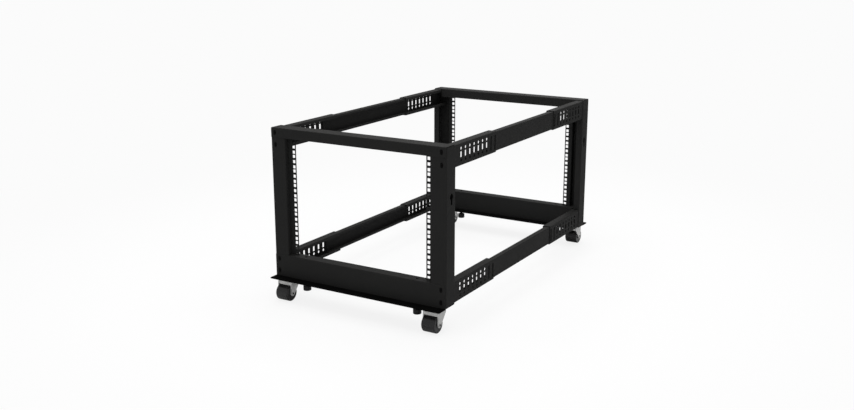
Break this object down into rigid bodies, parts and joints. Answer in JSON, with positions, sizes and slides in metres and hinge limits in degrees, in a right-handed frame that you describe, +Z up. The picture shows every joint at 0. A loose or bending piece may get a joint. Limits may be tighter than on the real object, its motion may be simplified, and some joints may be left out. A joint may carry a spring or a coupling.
{
  "type": "four post open frame rack",
  "caption": "Low open frame rack for 19 inch equipment: square-hole posts, telescoping slotted side rails, swivel casters and screw-down levelling feet.",
  "frame": {"origin": "on the floor under the middle of the rack, with the casters on the floor", "axes": "+X to the right seen from the front, +Y from the front to the rear, +Z up"},
  "size_m": [0.6, 1.076, 0.532],
  "materials": {
    "black_powder_coat": "satin powder coat",
    "zinc_plated_steel": "dull zinc plate",
    "black_nylon": "moulded, slight sheen",
    "black_zinc_steel": "satin black"
  },
  "bodies": {
    "front_frame": {"top_bar_front": "black_powder_coat", "base_beam_front": "black_powder_coat", "foot_plate_front": "black_powder_coat", "post_front_left": "black_powder_coat", "sleeve_top_front_left": "black_powder_coat", "sleeve_bottom_front_left": "black_powder_coat", "caster_plate_front_left": "zinc_plated_steel", "post_front_right": "black_powder_coat", "sleeve_top_front_right": "black_powder_coat", "sleeve_bottom_front_right": "black_powder_coat", "caster_plate_front_right": "zinc_plated_steel"},
    "rear_frame": {"top_bar_rear": "black_powder_coat", "base_beam_rear": "black_powder_coat", "foot_plate_rear": "black_powder_coat", "post_rear_left": "black_powder_coat", "sleeve_top_rear_left": "black_powder_coat", "sleeve_bottom_rear_left": "black_powder_coat", "caster_plate_rear_left": "zinc_plated_steel", "post_rear_right": "black_powder_coat", "sleeve_top_rear_right": "black_powder_coat", "sleeve_bottom_rear_right": "black_powder_coat", "caster_plate_rear_right": "zinc_plated_steel"},
    "rail_channels": {"channel_top_left": "black_powder_coat", "channel_bottom_left": "black_powder_coat", "channel_top_right": "black_powder_coat", "channel_bottom_right": "black_powder_coat"},
    "caster_fork_front_left": {"caster_fork_front_left": "zinc_plated_steel"},
    "caster_wheel_front_left": {"caster_wheel_front_left": "black_nylon"},
    "levelling_foot_front_left": {"levelling_foot_front_left": "black_zinc_steel"},
    "caster_fork_front_right": {"caster_fork_front_right": "zinc_plated_steel"},
    "caster_wheel_front_right": {"caster_wheel_front_right": "black_nylon"},
    "levelling_foot_front_right": {"levelling_foot_front_right": "black_zinc_steel"},
    "caster_fork_rear_left": {"caster_fork_rear_left": "zinc_plated_steel"},
    "caster_wheel_rear_left": {"caster_wheel_rear_left": "black_nylon"},
    "levelling_foot_rear_left": {"levelling_foot_rear_left": "black_zinc_steel"},
    "caster_fork_rear_right": {"caster_fork_rear_right": "zinc_plated_steel"},
    "caster_wheel_rear_right": {"caster_wheel_rear_right": "black_nylon"},
    "levelling_foot_rear_right": {"levelling_foot_rear_right": "black_zinc_steel"}
  },
  "joints": [
    {"name": "depth_adjustment", "type": "slide", "parent": "front_frame", "child": "rear_frame", "axis": [0, 1, 0], "range_m": [-0.411, 0.046]},
    {"name": "channels_follow", "type": "slide", "parent": "front_frame", "child": "rail_channels", "axis": [0, 1, 0], "range_m": [-0.2055, 0.023]},
    {"name": "caster_swivel_front_left", "type": "hinge", "parent": "front_frame", "child": "caster_fork_front_left", "pos_m": [-0.2586, -0.4965, 0.062], "axis": [0, 0, 1], "continuous": true},
    {"name": "caster_roll_front_left", "type": "hinge", "parent": "caster_fork_front_left", "child": "caster_wheel_front_left", "pos_m": [-0.2586, -0.511, 0.025], "axis": [1, 0, 0], "continuous": true},
    {"name": "levelling_screw_front_left", "type": "slide", "parent": "front_frame", "child": "levelling_foot_front_left", "axis": [0, 0, 1], "range_m": [-0.039, 0.014]},
    {"name": "caster_swivel_front_right", "type": "hinge", "parent": "front_frame", "child": "caster_fork_front_right", "pos_m": [0.2586, -0.4965, 0.062], "axis": [0, 0, 1], "continuous": true},
    {"name": "caster_roll_front_right", "type": "hinge", "parent": "caster_fork_front_right", "child": "caster_wheel_front_right", "pos_m": [0.2586, -0.511, 0.025], "axis": [1, 0, 0], "continuous": true},
    {"name": "levelling_screw_front_right", "type": "slide", "parent": "front_frame", "child": "levelling_foot_front_right", "axis": [0, 0, 1], "range_m": [-0.039, 0.014]},
    {"name": "caster_swivel_rear_left", "type": "hinge", "parent": "rear_frame", "child": "caster_fork_rear_left", "pos_m": [-0.2586, 0.4965, 0.062], "axis": [0, 0, 1], "continuous": true},
    {"name": "caster_roll_rear_left", "type": "hinge", "parent": "caster_fork_rear_left", "child": "caster_wheel_rear_left", "pos_m": [-0.2586, 0.511, 0.025], "axis": [1, 0, 0], "continuous": true},
    {"name": "levelling_screw_rear_left", "type": "slide", "parent": "rear_frame", "child": "levelling_foot_rear_left", "axis": [0, 0, 1], "range_m": [-0.039, 0.014]},
    {"name": "caster_swivel_rear_right", "type": "hinge", "parent": "rear_frame", "child": "caster_fork_rear_right", "pos_m": [0.2586, 0.4965, 0.062], "axis": [0, 0, 1], "continuous": true},
    {"name": "caster_roll_rear_right", "type": "hinge", "parent": "caster_fork_rear_right", "child": "caster_wheel_rear_right", "pos_m": [0.2586, 0.511, 0.025], "axis": [1, 0, 0], "continuous": true},
    {"name": "levelling_screw_rear_right", "type": "slide", "parent": "rear_frame", "child": "levelling_foot_rear_right", "axis": [0, 0, 1], "range_m": [-0.039, 0.014]}
  ],
  "couplings": [
    {"joint": "channels_follow", "follows": "depth_adjustment", "ratio": 0.5}
  ]
}
